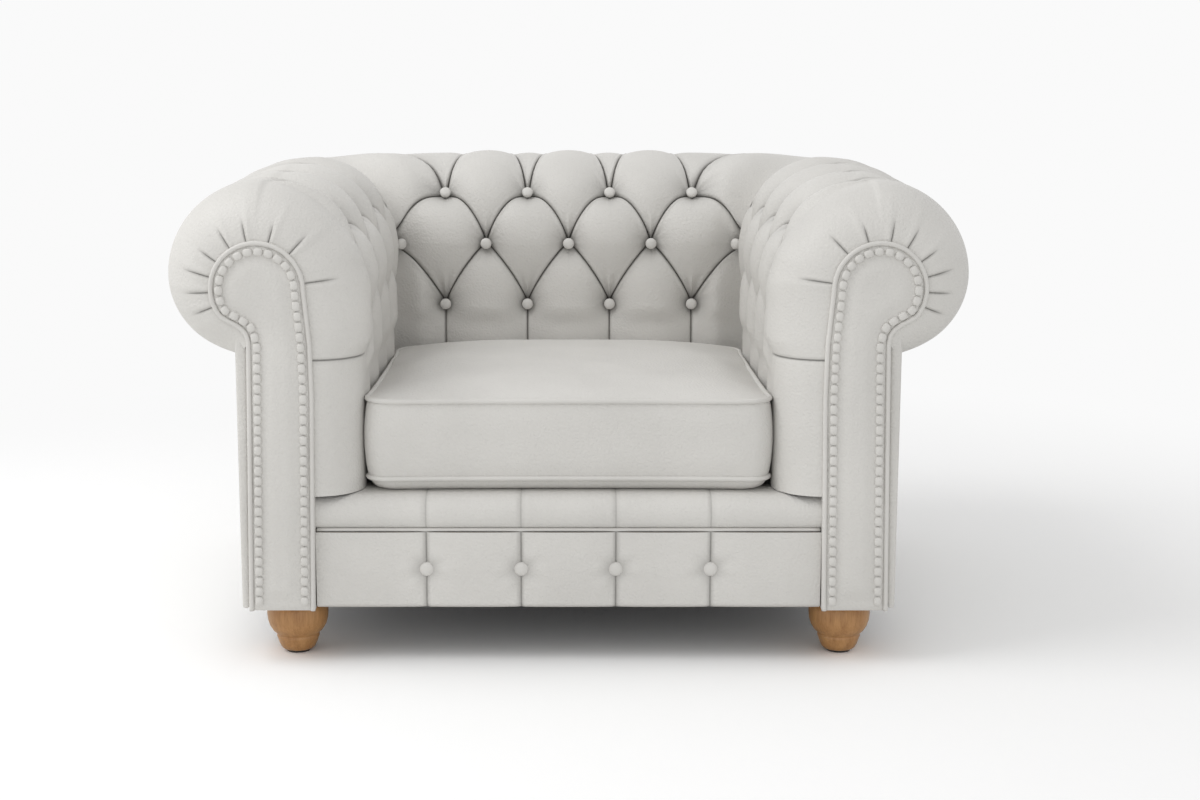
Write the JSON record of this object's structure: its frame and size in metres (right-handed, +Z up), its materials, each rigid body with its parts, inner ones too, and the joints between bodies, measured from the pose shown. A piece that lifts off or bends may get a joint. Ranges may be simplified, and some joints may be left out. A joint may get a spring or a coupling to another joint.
{
  "type": "chesterfield armchair",
  "caption": "Deep-buttoned club armchair with scrolled arms level with its back, piped and nailed facings, a loose crowned seat cushion and turned bun feet.",
  "frame": {"origin": "on the floor, in the middle of the whole chair's width and depth", "axes": "+X along the width, to the right seen from the front; -Y out of the front; +Z up"},
  "size_m": [1.186, 0.95, 0.721],
  "materials": {
    "leather": "pale grey-white grained upholstery leather, soft sheen",
    "piping_leather": "the same leather rolled round piping",
    "covered_buttons": "leather-covered button and nail heads",
    "turned_wood": "light brown turned wood, satin lacquer",
    "frame_timber": "sawn beech",
    "bent_board": "bent fibreboard and plywood",
    "webbing": "woven elastic webbing",
    "platform_cloth": "plain woven platform cloth",
    "dust_cloth": "black spun dust cover",
    "nylon": "moulded nylon",
    "zinc_steel": "zinc-plated steel",
    "zip_tape": "woven zip tape with moulded teeth",
    "zip_metal": "die-cast zip slider"
  },
  "bodies": {
    "chair": {"arm_buttons_left": "covered_buttons", "arm_buttons_right": "covered_buttons", "arm_lining_board_left": "bent_board", "arm_lining_board_right": "bent_board", "arm_outside_panel_left": "leather", "arm_outside_panel_right": "leather", "arm_pad_left": "leather", "arm_pad_right": "leather", "arm_roll_ribs_left": "bent_board", "arm_roll_ribs_right": "bent_board", "arm_stump_left": "frame_timber", "arm_stump_right": "frame_timber", "arm_top_rail_left": "frame_timber", "arm_top_rail_right": "frame_timber", "back_buttons": "covered_buttons", "back_lining_board": "bent_board", "back_outside_panel": "leather", "back_pad": "leather", "back_rail": "frame_timber", "back_roll_ribs": "bent_board", "back_top_rail": "frame_timber", "corner_blocks": "frame_timber", "dust_cover": "dust_cloth", "facing_cord_left": "piping_leather", "facing_cord_right": "piping_leather", "facing_nails_left": "covered_buttons", "facing_nails_right": "covered_buttons", "facing_panel_left": "leather", "facing_panel_right": "leather", "foot_nuts": "zinc_steel", "foot_screws": "zinc_steel", "front_buttons": "covered_buttons", "front_feet": "turned_wood", "front_lip": "leather", "front_panel": "leather", "front_rail": "frame_timber", "front_welt": "piping_leather", "glides": "nylon", "rear_feet": "turned_wood", "rear_post_left": "frame_timber", "rear_post_right": "frame_timber", "seat_back_rail": "frame_timber", "seat_deck": "platform_cloth", "seat_side_rail_left": "frame_timber", "seat_side_rail_right": "frame_timber", "seat_straps": "webbing", "side_rail_left": "frame_timber", "side_rail_right": "frame_timber"},
    "cushion": {"seat_cushion": "leather", "cushion_top_cord": "piping_leather", "cushion_bottom_cord": "piping_leather", "cushion_zip": "zip_tape"},
    "slider": {"zip_slider": "zip_metal"}
  },
  "joints": [
    {"name": "cushion_draw_out", "type": "slide", "parent": "chair", "child": "cushion", "axis": [0, -1, 0], "range_m": [0, 0.6]},
    {"name": "zip_slide", "type": "slide", "parent": "cushion", "child": "slider", "axis": [1, 0, 0], "range_m": [0, 0.45]}
  ]
}
